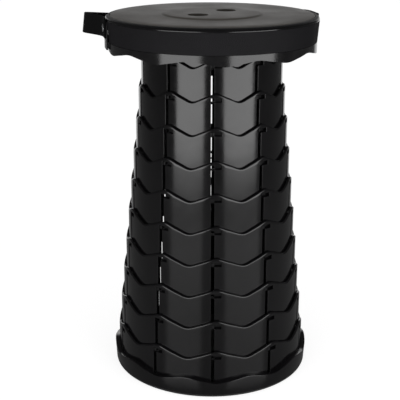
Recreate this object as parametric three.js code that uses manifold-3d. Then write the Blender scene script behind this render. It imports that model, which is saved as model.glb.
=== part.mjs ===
// Collapsible telescopic stool: ten nested rings between a round seat and a round base.
// Millimetres, +Z up. The origin is on the floor, on the axis of the rings.
// The stool is drawn pulled out to its full height. Azimuth 0 is the front, at -Y,
// and azimuth grows to the right as seen from the front.

import * as THREE from 'three';
import { mergeVertices } from 'three/addons/utils/BufferGeometryUtils.js';
import Module from 'manifold-3d';

// Clearances
const seatGap = 0.3; // between pieces that rest on or fit in each other
const overrun = 2; // how far a cut runs past the face that it opens
const embed = 1; // how far a joined feature sinks into its carrier

// Rings of the column
const ringCount = 10;
const waveCount = 10; // crests on a ring's upper edge, one over each slot
const facetsPerWave = 5;
const ribsPerTab = 2; // a ring's tabs run in every second slot of the next ring
const topRingRadius = 85.4; // outside of the innermost, highest ring
const ringWall = 2.7;
const ringGap = 1.04; // radial play between two neighbouring rings
const ringRise = 38.4; // how far each ring stands out of the next
const waveHeight = 10.2;
const waveTurn = THREE.MathUtils.degToRad(2.4); // crests stand over the middle of a slot and its notch
const ringTurn = THREE.MathUtils.degToRad(0.08); // of each ring on the one above, within its tabs' play

// Slots and the tabs that run in them
const slotWidth = 4.5;
const slotBand = 5.3; // solid material over each slot
const slotFoot = 2; // solid material under a full slot
const tabBridge = 2; // solid material between a tab and the short slot over it
const tabWidth = 3.6;
const tabHeight = 4;
const tabFoot = 2.5; // from a ring's lower edge to its tabs
const tabRecess = 0.6; // a tab ends this far inside the next ring's outer face
const stopGap = 0.3; // under the slot's end when the stool is pulled out
const hookReach = 8.5; // sideways notch at the slot's top, for the locking twist
const hookPlay = 0.8; // extra height of that notch over a tab

// Seat
const seatRise = 32.4; // travel of the seat over the highest ring
const closedGap = 0.6; // left between ring tops and seat when folded
const seatRadius = 127.2;
const skirtDrop = 35.3; // from the seat's ceiling to the lowest point of its lip
const skirtTaper = 2; // loss of radius from top to bottom of the skirt
const lipHeight = 12.6;
const lipWave = 5.8;
const lipWall = 2.8;
const skirtWall = 2.1;
const bandThickness = 1.2; // textured band laid round the skirt
const webThickness = 2.8;
const bevelHeight = 3.7;
const bevelReach = 5.2;
const bevelSteps = 2;
const bandTop = 2; // above the ceiling
const coverThickness = 3.6;
const coverRimRise = 0.3; // of the cover over the bevel
const coverBevel = 1;
const plateauRadius = 57;
const plateauSlope = 4;
const plateauHeight = 1.5;
const fingerHoleRadius = 12.2;
const fingerHoleOffset = 27.9; // from the axis to each finger hole
const fingerHoleAngle = THREE.MathUtils.degToRad(53.6); // from +X
const collarWall = 2;
const collarDrop = 7;
const seatTurn = THREE.MathUtils.degToRad(5.8); // the lip's waves stand turned from the slots

// Neck: the seat's own ring, which runs in the highest ring of the column
const neckFlangeThickness = 2.5;
const neckFlangeWidth = 15;
const bossHeight = 8;
const bossRadius = 4;
const neckScrewInset = 8; // from the inside of the neck to the screw circle

// Base
const footStand = 0.6; // height of the rubber feet under the base plate
const plateThickness = 2.5;
const baseWall = 5.24; // of the base shell at its rim
const baseDraft = 1.2; // loss of radius from the rim down to the foot
const baseCorner = 1.2;
const ledgeHeight = 4.2; // of the ledge inside the base shell, which carries the lowest ring
const ledgeWidth = 12;
const rimHeight = 25.3; // highest points of the base's rim
const rimWave = 6.4;
const rimBevel = 1;
const pocketMargin = 0.35; // play round each tab of the lowest ring in its pocket
const footRadius = 8;
const footPocketDepth = 1.6;
const centreFootRadius = 16;
const footInset = 18; // from the base's rim to the centres of the feet
const panelInner = 26; // lightening panels between the plate's radial ribs
const panelEdge = 34; // from the base's rim to those panels
const panelDepth = 1.1;
const ribWidth = 5;

// Screws, the same in the base and under the seat
const screwShankRadius = 1.25;
const screwHeadRadius = 2.8;
const screwHeadHeight = 1;
const neckScrewLength = 8;
const baseScrewLength = 5;
const screwHeadBevel = 0.4;
const screwRecess = 1.4;

// Carry strap, its clips and rivets
const strapAxisTurn = THREE.MathUtils.degToRad(11.8); // of the line through both rivets, from +X
const strapPivotDrop = 13.2; // below the cover's rim
const strapWidth = 24;
const strapThickness = 1.6;
const strapClearance = 6; // from the seat's side to the strap behind it
const strapSag = 9; // how far the strap hangs lower behind the seat
const strapEnd = 9; // webbing past each rivet
const bulgeReach = 24.5; // loop of slack webbing at the left
const bulgeCentre = THREE.MathUtils.degToRad(158.7);
const bulgeHalfWidth = THREE.MathUtils.degToRad(17);
const strapSteps = 36;
const blendLength = 1; // softness of the bend where the strap leaves the right clip
const clipWidth = 22;
const clipThickness = 1.8;
const clipTop = 1; // above the ceiling
const clipDrop = 31.5; // below the ceiling
const clipFootWidth = 10;
const clipFootHeight = 2.2;
const clipBarb = 0.4; // the feet end clear of the lowest ring, over which they come down
const clipFootRise = 1.6; // of the lower foot over the lip's groove
const clipUpperFootDrop = 11; // from the pivot to the upper foot
const rivetRadius = 2;
const rivetHeadRadius = 4.6;
const rivetHeadHeight = 1.3;
const rivetTailRadius = 3.5;
const rivetTailHeight = 1;
const sliderWall = 1.6;
const sliderLength = 12;
const sliderAngle = THREE.MathUtils.degToRad(74);

// Facets of round pieces
const ringFacets = waveCount * facetsPerWave;
const neckFacets = 30;
const holeFacets = 12;
const smallFacets = 8;
const screwFacets = 6;
const panelArcSteps = 2;

// Sizes worked out from the ones above
const ringStep = ringGap + ringWall;
const plateBottom = footStand;
const plateTop = plateBottom + plateThickness;
const ledgeBottom = plateTop + seatGap;
const ledgeTop = ledgeBottom + ledgeHeight;
const ringFloor = ledgeTop + seatGap;
const ringHeight = ringRise + slotBand + stopGap + tabHeight + tabFoot;
const hookHeight = tabHeight + hookPlay;
const tabReach = ringStep - tabRecess;
const topRingTop = ringFloor + (ringCount - 1) * ringRise + ringHeight;
const ceiling = topRingTop + seatRise + closedGap;
const webTop = ceiling + webThickness;
const coverBottom = webTop + seatGap;
const coverTop = coverBottom + coverThickness;
const shellTop = coverTop - coverRimRise;
const coverRadius = seatRadius - bevelReach - seatGap;
const lipLow = ceiling - skirtDrop;
const bandLow = lipLow + lipHeight;
const bandHigh = ceiling + bandTop;
const pivotHeight = coverTop - strapPivotDrop;
const neckOuter = topRingRadius - ringStep;
const neckInner = neckOuter - ringWall;
const neckBottom = topRingTop - slotBand - stopGap - tabHeight - tabFoot;
const collarLow = ceiling - collarDrop;
const bossLow = ceiling - bossHeight;
const lowestRingRadius = ringRadius(ringCount);
const rimInner = lowestRingRadius + seatGap;
const baseRadius = rimInner + baseWall;
const baseFootRadius = baseRadius - baseDraft;
const ledgeInner = rimInner - ledgeWidth;
const ribAngle = (2 * Math.PI) / waveCount;
const bandOuterLow = seatRadius - skirtTaper;
const grooveTop = seatRadius - bandThickness - seatGap;
const grooveLow = bandOuterLow - bandThickness - seatGap;
const strapRadius = seatRadius + strapClearance + strapThickness / 2;
const clipInner = grooveTop + seatGap;
const clipOuter = clipInner + clipThickness;
const strapEndPlane = clipOuter + seatGap + strapThickness / 2;
const lowerFootLow = bandLow + clipFootRise;
const upperFootLow = pivotHeight - clipUpperFootDrop;
const clipFootInner = grooveLow - skirtWall - clipBarb - clipThickness;
const neckScrewCircle = neckInner - neckScrewInset;
const neckScrewAzimuths = everySecondRib(0).map((azimuth) => azimuth + ribAngle);
const baseScrewCircle = (ledgeInner + rimInner) / 2;
const baseScrewAzimuths = everySecondRib(ringCount + 1);
const baseScrewPlane = plateBottom + screwRecess - seatGap; // underside of the heads
const neckScrewPlane = bossLow - seatGap - neckFlangeThickness - seatGap;
const footCircle = baseRadius - footInset;
const footAzimuths = everySecondRib(0);
const fingerHoles = [-1, 1].map((side) => [
  side * fingerHoleOffset * Math.cos(fingerHoleAngle),
  side * fingerHoleOffset * Math.sin(fingerHoleAngle),
]);

// Materials
const glossBlack = { color: 0x141415, roughness: 0.22, metalness: 0 };
const matteBlack = { color: 0x232324, roughness: 0.62, metalness: 0 };
const coverBlack = { color: 0x2a2927, roughness: 0.48, metalness: 0 };
const webbingBlack = { color: 0x1b1b1d, roughness: 0.85, metalness: 0 };
const rubberBlack = { color: 0x1a1a1a, roughness: 0.8, metalness: 0 };
const steel = { color: 0xa8a8aa, roughness: 0.3, metalness: 1 };

const wasm = await Module();
wasm.setup();

// Solids

function solid(geometry) {
  const bare = geometry.index ? geometry.toNonIndexed() : geometry.clone();
  bare.deleteAttribute('normal');
  bare.deleteAttribute('uv');
  const merged = mergeVertices(bare);
  const vertProperties = new Float32Array(merged.attributes.position.array);
  const triVerts = new Uint32Array(merged.index.array);
  return new wasm.Manifold(new wasm.Mesh({ numProp: 3, vertProperties, triVerts }));
}

function surface(body) {
  const mesh = body.getMesh();
  const geometry = new THREE.BufferGeometry();
  geometry.setAttribute('position', new THREE.BufferAttribute(mesh.vertProperties, 3));
  geometry.setIndex(new THREE.BufferAttribute(mesh.triVerts, 1));
  return geometry;
}

function cutAll(body, cutters) {
  return cutters.reduce((rest, cutter) => rest.subtract(solid(cutter)), body);
}

function joinAll(body, features) {
  return features.reduce((sum, feature) => sum.add(solid(feature)), body);
}

// A revolved closed profile of [radius, height] points, listed anticlockwise,
// with a facet square to the front.
function revolve(profile, facets) {
  const onAxis = profile[0][0] === 0;
  const closed = onAxis ? profile : [...profile, profile[0]];
  const points = closed.map(([radius, height]) => new THREE.Vector2(radius, height));
  return new THREE.LatheGeometry(points, facets, Math.PI / facets).rotateX(Math.PI / 2);
}

// A box given by its low and high corners.
function block(low, high) {
  const size = high.map((value, axis) => value - low[axis]);
  const middle = high.map((value, axis) => (value + low[axis]) / 2);
  return new THREE.BoxGeometry(...size).translate(...middle);
}

// An upright cylinder between two heights.
function post(radius, low, high, facets) {
  return new THREE.CylinderGeometry(radius, radius, high - low, facets)
    .rotateX(Math.PI / 2)
    .translate(0, 0, (low + high) / 2);
}

// Copies of what make() returns, turned to each azimuth in the list.
function atEach(azimuths, make) {
  return azimuths.map((azimuth) => make().rotateZ(azimuth));
}

// Azimuths of every second rib, starting at the first or at the second one.
function everySecondRib(start) {
  const azimuths = [];
  for (let rib = start % ribsPerTab; rib < waveCount; rib += ribsPerTab) azimuths.push(rib * ribAngle);
  return azimuths;
}

// The wave of an edge, from 1 on its crests to -1 in its dips, with both as wide as one facet.
function waveLevel(azimuth) {
  const level = Math.cos(waveCount * azimuth) / Math.cos(Math.PI / facetsPerWave);
  return THREE.MathUtils.clamp(level, -1, 1);
}

// Moves each vertex between a fixed height and a moving height so that the latter follows shift(azimuth).
function followWave(geometry, fixedHeight, movingHeight, shift) {
  const position = geometry.attributes.position;
  for (let i = 0; i < position.count; i += 1) {
    const share = (position.getZ(i) - fixedHeight) / (movingHeight - fixedHeight);
    if (share > 0) {
      const azimuth = Math.atan2(position.getX(i), -position.getY(i));
      position.setZ(i, position.getZ(i) + share * shift(azimuth));
    }
  }
  return geometry;
}

// Column

function ringRadius(index) {
  return topRingRadius + (index - 1) * ringStep;
}

function ringBottom(index) {
  return ringFloor + (ringCount - index) * ringRise;
}

// How far a ring stands turned from the highest one; the neck counts as ring 0.
function turnOfRing(index) {
  return (index - 1) * ringTurn;
}

// An L-shaped cutter for a slot at the front, with its locking notch to the right.
function slotCutter(outer, low, high) {
  const half = slotWidth / 2;
  const outline = new THREE.Shape();
  outline.moveTo(-half, low);
  outline.lineTo(half, low);
  outline.lineTo(half, high - hookHeight);
  outline.lineTo(half + hookReach, high - hookHeight);
  outline.lineTo(half + hookReach, high);
  outline.lineTo(-half, high);
  outline.closePath();
  const depth = ringWall + 2 * overrun;
  return new THREE.ExtrudeGeometry(outline, { depth, bevelEnabled: false })
    .rotateX(Math.PI / 2)
    .translate(0, overrun + ringWall - outer, 0);
}

// A tab at the front, which stands out of a ring of the given outer radius.
function tab(outer, bottom) {
  return block(
    [-tabWidth / 2, -(outer + tabReach), bottom + tabFoot],
    [tabWidth / 2, -(outer - embed), bottom + tabFoot + tabHeight],
  );
}

function ring(index) {
  const outer = ringRadius(index);
  const inner = outer - ringWall;
  const bottom = ringBottom(index);
  const top = bottom + ringHeight;
  const tube = revolve([[inner, bottom], [outer, bottom], [outer, top], [inner, top]], ringFacets);
  const crest = (azimuth) => (-waveHeight / 2) * (1 - waveLevel(azimuth));
  const blank = solid(followWave(tube, bottom, top, crest).rotateZ(waveTurn));
  const withTab = everySecondRib(index);
  const withoutTab = everySecondRib(index + 1);
  const slotTop = top - slotBand;
  const shortLow = bottom + tabFoot + tabHeight + tabBridge;
  const slots = [
    ...atEach(withoutTab, () => slotCutter(outer, bottom + slotFoot, slotTop)),
    ...atEach(withTab, () => slotCutter(outer, shortLow, slotTop)),
  ];
  const body = joinAll(cutAll(blank, slots), atEach(withTab, () => tab(outer, bottom)));
  return solid(surface(body).rotateZ(turnOfRing(index)));
}

// Screws

// A pan-headed screw, pointing up, with the underside of its head at height 0.
function screw(length) {
  const profile = [
    [0, -screwHeadHeight],
    [screwHeadRadius - screwHeadBevel, -screwHeadHeight],
    [screwHeadRadius, screwHeadBevel - screwHeadHeight],
    [screwHeadRadius, 0],
    [screwShankRadius, 0],
    [screwShankRadius, length - screwShankRadius],
    [0, length],
  ];
  return revolve(profile, screwFacets);
}

function screwHole(low, high) {
  return post(screwShankRadius + seatGap, low, high, screwFacets);
}

// Seat

// The frame in which +X runs out through the right-hand rivet and +Y is behind the strap's axis.
function alongStrapAxis(geometry, side) {
  const turned = side > 0 ? geometry : geometry.rotateZ(Math.PI);
  return turned.rotateZ(strapAxisTurn);
}

function quarterBevel(outer, low, reach, height, steps) {
  const points = [];
  for (let step = 0; step <= steps; step += 1) {
    const angle = (step / steps) * (Math.PI / 2);
    points.push([outer - reach * (1 - Math.cos(angle)), low + height * Math.sin(angle)]);
  }
  return points;
}

function seatShell() {
  const innerTop = grooveTop - skirtWall;
  const lipOuter = bandOuterLow;
  const profile = [
    [0, ceiling],
    [innerTop, ceiling],
    [lipOuter - lipWall, lipLow],
    [lipOuter, lipLow],
    [lipOuter, bandLow - seatGap],
    [grooveLow, bandLow - seatGap],
    [grooveTop, bandHigh + seatGap],
    [seatRadius, bandHigh + seatGap],
    ...quarterBevel(seatRadius, shellTop - bevelHeight, bevelReach, bevelHeight, bevelSteps),
    [coverRadius + seatGap, webTop],
    [0, webTop],
  ];
  const blank = revolve(profile, ringFacets);
  const lift = (azimuth) => (lipWave / 2) * (1 - waveLevel(azimuth));
  followWave(blank, bandLow - seatGap - embed, lipLow, lift).rotateZ(seatTurn);
  const collars = fingerHoles.map(([x, y]) =>
    post(fingerHoleRadius + collarWall, collarLow, ceiling + embed, holeFacets).translate(x, y, 0));
  const bosses = atEach(neckScrewAzimuths, () =>
    post(bossRadius, bossLow, ceiling + embed, smallFacets).translate(0, -neckScrewCircle, 0));
  const holes = fingerHoles.map(([x, y]) =>
    post(fingerHoleRadius, collarLow - overrun, webTop + overrun, holeFacets).translate(x, y, 0));
  const screwHoles = atEach(neckScrewAzimuths, () =>
    screwHole(bossLow - overrun, ceiling).translate(0, -neckScrewCircle, 0));
  const clipHoles = [-1, 1].flatMap((side) => clipCutters().map((cutter) => alongStrapAxis(cutter, side)));
  const body = joinAll(solid(blank), [...collars, ...bosses]);
  return cutAll(body, [...holes, ...screwHoles, ...clipHoles]);
}

function seatCover() {
  const profile = [
    [0, coverBottom],
    [coverRadius, coverBottom],
    [coverRadius, coverTop - coverBevel],
    [coverRadius - coverBevel, coverTop],
    [plateauRadius + plateauSlope, coverTop],
    [plateauRadius, coverTop + plateauHeight],
    [0, coverTop + plateauHeight],
  ];
  const holes = fingerHoles.map(([x, y]) =>
    post(fingerHoleRadius, coverBottom - overrun, coverTop + plateauHeight + overrun, holeFacets)
      .translate(x, y, 0));
  return cutAll(solid(revolve(profile, ringFacets)), holes);
}

// Half of the textured band: side -1 is the front half, side 1 the rear one.
function skirtBand(side) {
  const profile = [
    [bandOuterLow - bandThickness, bandLow],
    [bandOuterLow, bandLow],
    [seatRadius, bandHigh],
    [seatRadius - bandThickness, bandHigh],
  ];
  const reach = seatRadius + overrun;
  const edge = clipWidth / 2 + seatGap;
  const low = side < 0 ? -edge : -reach;
  const high = side < 0 ? reach : edge;
  const away = block([-reach, low, bandLow - overrun], [reach, high, bandHigh + overrun]);
  return cutAll(solid(revolve(profile, ringFacets)), [away.rotateZ(strapAxisTurn)]);
}

function seatNeck() {
  const top = ceiling - seatGap;
  const flangeTop = bossLow - seatGap;
  const flangeLow = flangeTop - neckFlangeThickness;
  const profile = [
    [neckInner, neckBottom],
    [neckOuter, neckBottom],
    [neckOuter, top],
    [neckInner, top],
    [neckInner, flangeTop],
    [neckInner - neckFlangeWidth, flangeTop],
    [neckInner - neckFlangeWidth, flangeLow],
    [neckInner, flangeLow],
  ];
  const holes = atEach(neckScrewAzimuths, () =>
    screwHole(flangeLow - overrun, flangeTop + overrun).translate(0, -neckScrewCircle, 0));
  const tabs = atEach(everySecondRib(0), () => tab(neckOuter, neckBottom).rotateZ(turnOfRing(0)));
  return joinAll(cutAll(solid(revolve(profile, neckFacets)), holes), tabs);
}

// Base

function baseShell() {
  const profile = [
    [ledgeInner, ledgeBottom],
    [baseFootRadius, ledgeBottom],
    [baseRadius, rimHeight - rimBevel],
    [baseRadius - rimBevel, rimHeight],
    [rimInner, rimHeight],
    [rimInner, ledgeTop],
    [ledgeInner, ledgeTop],
  ];
  const dip = (azimuth) => (-rimWave / 2) * (1 + waveLevel(azimuth));
  const turn = turnOfRing(ringCount);
  const waved = followWave(revolve(profile, ringFacets), ledgeTop, rimHeight, dip);
  const blank = solid(waved.rotateZ(waveTurn + turn));
  const half = tabWidth / 2 + pocketMargin;
  const tabLow = ringFloor + tabFoot;
  const pockets = atEach(everySecondRib(ringCount), () => block(
    [-half, -(lowestRingRadius + tabReach + pocketMargin), tabLow - pocketMargin],
    [half, -(rimInner - overrun), tabLow + tabHeight + pocketMargin],
  ).rotateZ(turn));
  const holeTop = baseScrewPlane + baseScrewLength + seatGap;
  const holes = atEach(baseScrewAzimuths, () =>
    screwHole(ledgeBottom - overrun, holeTop).translate(0, -baseScrewCircle, 0));
  return cutAll(blank, [...pockets, ...holes]);
}

// One lightening panel between two radial ribs, centred on the front.
function panelCutter() {
  const outer = baseRadius - panelEdge;
  const outerHalf = ribAngle / 2 - Math.asin(ribWidth / 2 / outer);
  const innerHalf = ribAngle / 2 - Math.asin(ribWidth / 2 / panelInner);
  const front = -Math.PI / 2;
  const outline = new THREE.Shape();
  outline.absarc(0, 0, outer, front - outerHalf, front + outerHalf, false);
  outline.absarc(0, 0, panelInner, front + innerHalf, front - innerHalf, true);
  outline.closePath();
  const depth = panelDepth + overrun;
  return new THREE.ExtrudeGeometry(outline, { depth, bevelEnabled: false, curveSegments: panelArcSteps })
    .translate(0, 0, plateBottom - overrun);
}

function basePlate() {
  const profile = [
    [0, plateBottom],
    [baseFootRadius - baseCorner, plateBottom],
    [baseFootRadius, plateBottom + baseCorner],
    [baseFootRadius, plateTop],
    [0, plateTop],
  ];
  const betweenRibs = [...everySecondRib(0), ...everySecondRib(1)].map((azimuth) => azimuth + ribAngle / 2);
  const panels = atEach(betweenRibs, panelCutter);
  const footPockets = atEach(footAzimuths, () =>
    post(footRadius + seatGap, plateBottom - overrun, plateBottom + footPocketDepth, holeFacets)
      .translate(0, -footCircle, 0));
  const centrePocket =
    post(centreFootRadius + seatGap, plateBottom - overrun, plateBottom + footPocketDepth, holeFacets);
  const holes = atEach(baseScrewAzimuths, () =>
    screwHole(plateBottom - overrun, plateTop + overrun).translate(0, -baseScrewCircle, 0));
  const recesses = atEach(baseScrewAzimuths, () =>
    post(screwHeadRadius + seatGap, plateBottom - overrun, plateBottom + screwRecess, smallFacets)
      .translate(0, -baseScrewCircle, 0));
  const cutters = [...panels, ...footPockets, centrePocket, ...holes, ...recesses];
  return cutAll(solid(revolve(profile, ringFacets)), cutters);
}

function foot(radius) {
  return solid(post(radius, 0, plateBottom + footPocketDepth - seatGap, holeFacets));
}

// Strap clips and rivets, drawn at the end of the +X axis

function clipCutters() {
  const half = clipFootWidth / 2 + seatGap;
  const reach = seatRadius + overrun;
  const feet = [lowerFootLow, upperFootLow].map((low) => block(
    [clipFootInner, -half, low - seatGap],
    [reach, half, low + clipFootHeight + seatGap],
  ));
  return [...feet, lengthwisePost(rivetRadius + seatGap, clipFootInner, reach)];
}

// A round post along +X at the pivot's height.
function lengthwisePost(radius, from, to) {
  return new THREE.CylinderGeometry(radius, radius, to - from, smallFacets)
    .rotateZ(Math.PI / 2)
    .translate((from + to) / 2, 0, pivotHeight);
}

function strapClip() {
  const plate = block(
    [clipInner, -clipWidth / 2, ceiling - clipDrop],
    [clipOuter, clipWidth / 2, ceiling + clipTop],
  );
  const half = clipFootWidth / 2;
  const feet = [lowerFootLow, upperFootLow].map((low) => block(
    [clipFootInner, -half, low],
    [clipInner + embed, half, low + clipFootHeight],
  ));
  const hole = lengthwisePost(rivetRadius + seatGap, clipInner - overrun, clipOuter + overrun);
  return cutAll(joinAll(solid(plate), feet), [hole]);
}

// The rivet holds the clip to the skirt, and the strap turns on it.
function strapRivet() {
  const tailOuter = grooveLow - skirtWall;
  const headInner = strapEndPlane + strapThickness / 2 + seatGap;
  const headOuter = headInner + rivetHeadHeight;
  const bevel = rivetHeadHeight / 2;
  const profile = [
    [0, tailOuter - rivetTailHeight],
    [rivetTailRadius, tailOuter - rivetTailHeight],
    [rivetTailRadius, tailOuter],
    [rivetRadius, tailOuter],
    [rivetRadius, headInner],
    [rivetHeadRadius, headInner],
    [rivetHeadRadius, headInner + bevel],
    [rivetHeadRadius - 2 * bevel, headOuter],
    [0, headOuter],
  ];
  return solid(revolve(profile, smallFacets).rotateY(Math.PI / 2).translate(0, 0, pivotHeight));
}

// Strap: a flat band of webbing from the left rivet, round behind the seat, to the right one

// Distance of the webbing's middle from the axis of the stool, at an angle from the right-hand rivet.
function strapPathRadius(angle) {
  const flat = strapEndPlane / Math.max(Math.abs(Math.cos(angle)), strapEndPlane / (2 * strapRadius));
  const nearer = -blendLength * Math.log1p(Math.exp((strapRadius - flat) / blendLength));
  const offset = (angle - bulgeCentre) / bulgeHalfWidth;
  const bulge = Math.abs(offset) < 1 ? bulgeReach * Math.cos((offset * Math.PI) / 2) ** 2 : 0;
  return strapRadius + nearer + bulge;
}

function strapPath() {
  const points = [new THREE.Vector2(strapEndPlane, -strapEnd)];
  const start = Math.asin(strapEnd / strapEndPlane);
  for (let step = 0; step <= strapSteps; step += 1) {
    const angle = start + (step / strapSteps) * (Math.PI - 2 * start);
    const radius = strapPathRadius(angle);
    points.push(new THREE.Vector2(radius * Math.cos(angle), radius * Math.sin(angle)));
  }
  points.push(new THREE.Vector2(-strapEndPlane, -strapEnd));
  return points;
}

// The path moved sideways by half the webbing's thickness, to its outer or inner face.
function offsetPath(path, distance) {
  return path.map((point, i) => {
    const before = path[Math.max(i - 1, 0)];
    const after = path[Math.min(i + 1, path.length - 1)];
    const along = after.clone().sub(before).normalize();
    return new THREE.Vector2(point.x + along.y * distance, point.y - along.x * distance);
  });
}

// The strap lies lower behind the seat than at its rivets.
function sagAt(x, y) {
  const behind = Math.max(y - strapEnd, 0) / strapRadius;
  return -strapSag * Math.sin(Math.min(behind, 1) * (Math.PI / 2)) ** 2;
}

function strapWebbing() {
  const path = strapPath();
  const outerFace = offsetPath(path, strapThickness / 2);
  const innerFace = offsetPath(path, -strapThickness / 2).reverse();
  const outline = new THREE.Shape([...outerFace, ...innerFace]);
  const webbing = new THREE.ExtrudeGeometry(outline, { depth: strapWidth, bevelEnabled: false })
    .translate(0, 0, pivotHeight - strapWidth / 2);
  const position = webbing.attributes.position;
  for (let i = 0; i < position.count; i += 1) {
    position.setZ(i, position.getZ(i) + sagAt(position.getX(i), position.getY(i)));
  }
  const reach = strapEndPlane + strapThickness + overrun;
  const hole = lengthwisePost(rivetRadius + seatGap, -reach, reach);
  return cutAll(solid(webbing), [hole]);
}

// A flat sleeve on the webbing, which takes up its length.
function strapSlider() {
  const x = strapRadius * Math.cos(sliderAngle);
  const y = strapRadius * Math.sin(sliderAngle);
  const halfHeight = strapWidth / 2 + seatGap + sliderWall;
  const halfDepth = strapThickness / 2 + 2 * seatGap + sliderWall;
  const halfLength = sliderLength / 2;
  const body = block([-halfDepth, -halfLength, -halfHeight], [halfDepth, halfLength, halfHeight]);
  const way = block(
    [sliderWall - halfDepth, -sliderLength, sliderWall - halfHeight],
    [halfDepth - sliderWall, sliderLength, halfHeight - sliderWall],
  );
  const place = (geometry) => geometry.rotateZ(sliderAngle).translate(x, y, pivotHeight + sagAt(x, y));
  return cutAll(solid(place(body)), [place(way)]);
}

// Assembly

const stool = new THREE.Group();

function add(name, body, look) {
  const mesh = new THREE.Mesh(surface(body), new THREE.MeshStandardMaterial(look));
  mesh.name = name;
  stool.add(mesh);
  return mesh;
}

function twoDigits(number) {
  return String(number).padStart(2, '0');
}

for (let index = 1; index <= ringCount; index += 1) {
  add(`ring_${twoDigits(index)}`, ring(index), glossBlack);
}

add('seat_shell', seatShell(), glossBlack);
add('seat_cover', seatCover(), coverBlack);
add('skirt_band_front', skirtBand(-1), matteBlack);
add('skirt_band_rear', skirtBand(1), matteBlack);
add('seat_neck', seatNeck(), glossBlack);
neckScrewAzimuths.forEach((azimuth, i) => {
  const body = solid(screw(neckScrewLength).translate(0, -neckScrewCircle, neckScrewPlane).rotateZ(azimuth));
  add(`neck_screw_${i + 1}`, body, steel);
});

for (const [name, side] of [['left', -1], ['right', 1]]) {
  add(`strap_clip_${name}`, solid(alongStrapAxis(surface(strapClip()), side)), glossBlack);
  add(`strap_rivet_${name}`, solid(alongStrapAxis(surface(strapRivet()), side)), steel);
}
add('strap_webbing', solid(alongStrapAxis(surface(strapWebbing()), 1)), webbingBlack);
add('strap_slider', solid(alongStrapAxis(surface(strapSlider()), 1)), glossBlack);

add('base_shell', baseShell(), glossBlack);
add('base_plate', basePlate(), matteBlack);
add('foot_centre', foot(centreFootRadius), rubberBlack);
footAzimuths.forEach((azimuth, i) => {
  add(`foot_${i + 1}`, foot(footRadius), rubberBlack)
    .position.set(footCircle * Math.sin(azimuth), -footCircle * Math.cos(azimuth), 0);
});
baseScrewAzimuths.forEach((azimuth, i) => {
  const body = solid(screw(baseScrewLength).translate(0, -baseScrewCircle, baseScrewPlane).rotateZ(azimuth));
  add(`base_screw_${i + 1}`, body, steel);
});

export default stool;
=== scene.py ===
"""Collapsible telescopic stool: the finished look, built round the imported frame.

Lengths in this file are millimetres until a mesh is made. Azimuth 0 is the front, at -Y,
and azimuth grows to the right as seen from the front.
"""

import math

import bmesh
import bpy
import numpy as np
from mathutils import Matrix, Vector


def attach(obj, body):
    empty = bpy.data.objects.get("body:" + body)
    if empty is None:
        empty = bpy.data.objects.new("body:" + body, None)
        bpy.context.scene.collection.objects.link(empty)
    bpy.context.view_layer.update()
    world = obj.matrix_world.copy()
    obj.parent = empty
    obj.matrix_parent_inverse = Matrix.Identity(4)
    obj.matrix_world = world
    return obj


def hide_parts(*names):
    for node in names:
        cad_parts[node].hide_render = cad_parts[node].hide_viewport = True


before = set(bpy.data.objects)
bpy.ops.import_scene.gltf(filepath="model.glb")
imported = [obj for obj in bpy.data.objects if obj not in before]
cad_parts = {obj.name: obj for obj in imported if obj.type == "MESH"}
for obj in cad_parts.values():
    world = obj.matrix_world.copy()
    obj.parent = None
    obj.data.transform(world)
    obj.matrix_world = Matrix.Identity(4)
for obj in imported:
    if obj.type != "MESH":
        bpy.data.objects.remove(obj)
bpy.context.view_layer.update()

MM = 0.001

# Clearances, as in the solids
GAP = 0.3
EMBED = 1.0
OVERRUN = 2.0

# Rings of the column
RINGS = 10
WAVES = 10
RIB = 2 * math.pi / WAVES
TOP_RING_RADIUS = 85.4
RING_STEP = 3.74
RING_WALL = 2.7
RING_RISE = 38.4
RING_HEIGHT = 50.5
RING_FLOOR = 7.9
WAVE_HEIGHT = 10.2
CREST_DROP = 0.5
WAVE_TURN = math.radians(2.4)
# The turns and the widths of slots and tabs differ a little from the solids', so that less light
# comes through the slots
FIRST_TURN = math.radians(0.25)
RING_TURN = math.radians(0.09)
SLOT_WIDTH = 4.15
SLOT_BAND = 5.3
SLOT_FOOT = 2.0
SHORT_SLOT_FOOT = 8.5
HOOK_REACH = 8.5
HOOK_HEIGHT = 4.8
TAB_WIDTH = 3.3
TAB_HEIGHT = 4.0
TAB_FOOT = 2.5
TAB_REACH = 3.14

# Seat
CEILING = 437.0
WEB_TOP = 439.8
COVER_BOTTOM = 440.1
COVER_TOP = 443.7
COVER_RADIUS = 121.7
COVER_BEVEL = 1.0
PLATEAU_RADIUS = 57.0
PLATEAU_SLOPE = 4.0
PLATEAU_TOP = 445.2
SHELL_TOP = 443.4
SEAT_RADIUS = 127.2
BEVEL_REACH = 5.2
BEVEL_HEIGHT = 3.7
BAND_LOW = 414.3
BAND_HIGH = 439.0
BAND_RADIUS_LOW = 125.2
BAND_THICKNESS = 1.2
SKIRT_WALL = 2.1
LIP_LOW = 401.7
LIP_WAVE = 5.8
LIP_WALL = 2.8
SEAT_TURN = math.radians(5.8)
FINGER_RADIUS = 12.2
FINGER_OFFSET = 27.9
FINGER_ANGLE = math.radians(53.6)
COLLAR_WALL = 2.0
COLLAR_DROP = 7.0
BOSS_DROP = 8.0
BOSS_RADIUS = 4.0

# Screws
SCREW_HEAD = 2.8
SCREW_SHANK = 1.25

# Neck and its screws
NECK_OUTER = 81.66
NECK_INNER = 78.96
NECK_BOTTOM = 391.9
NECK_TOP = 436.7
FLANGE_LOW = 426.2
FLANGE_TOP = 428.7
FLANGE_WIDTH = 15.0
NECK_SCREW_CIRCLE = 70.96
NECK_SCREW_HEAD_PLANE = 425.9
NECK_SCREW_LENGTH = 8.0

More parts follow.
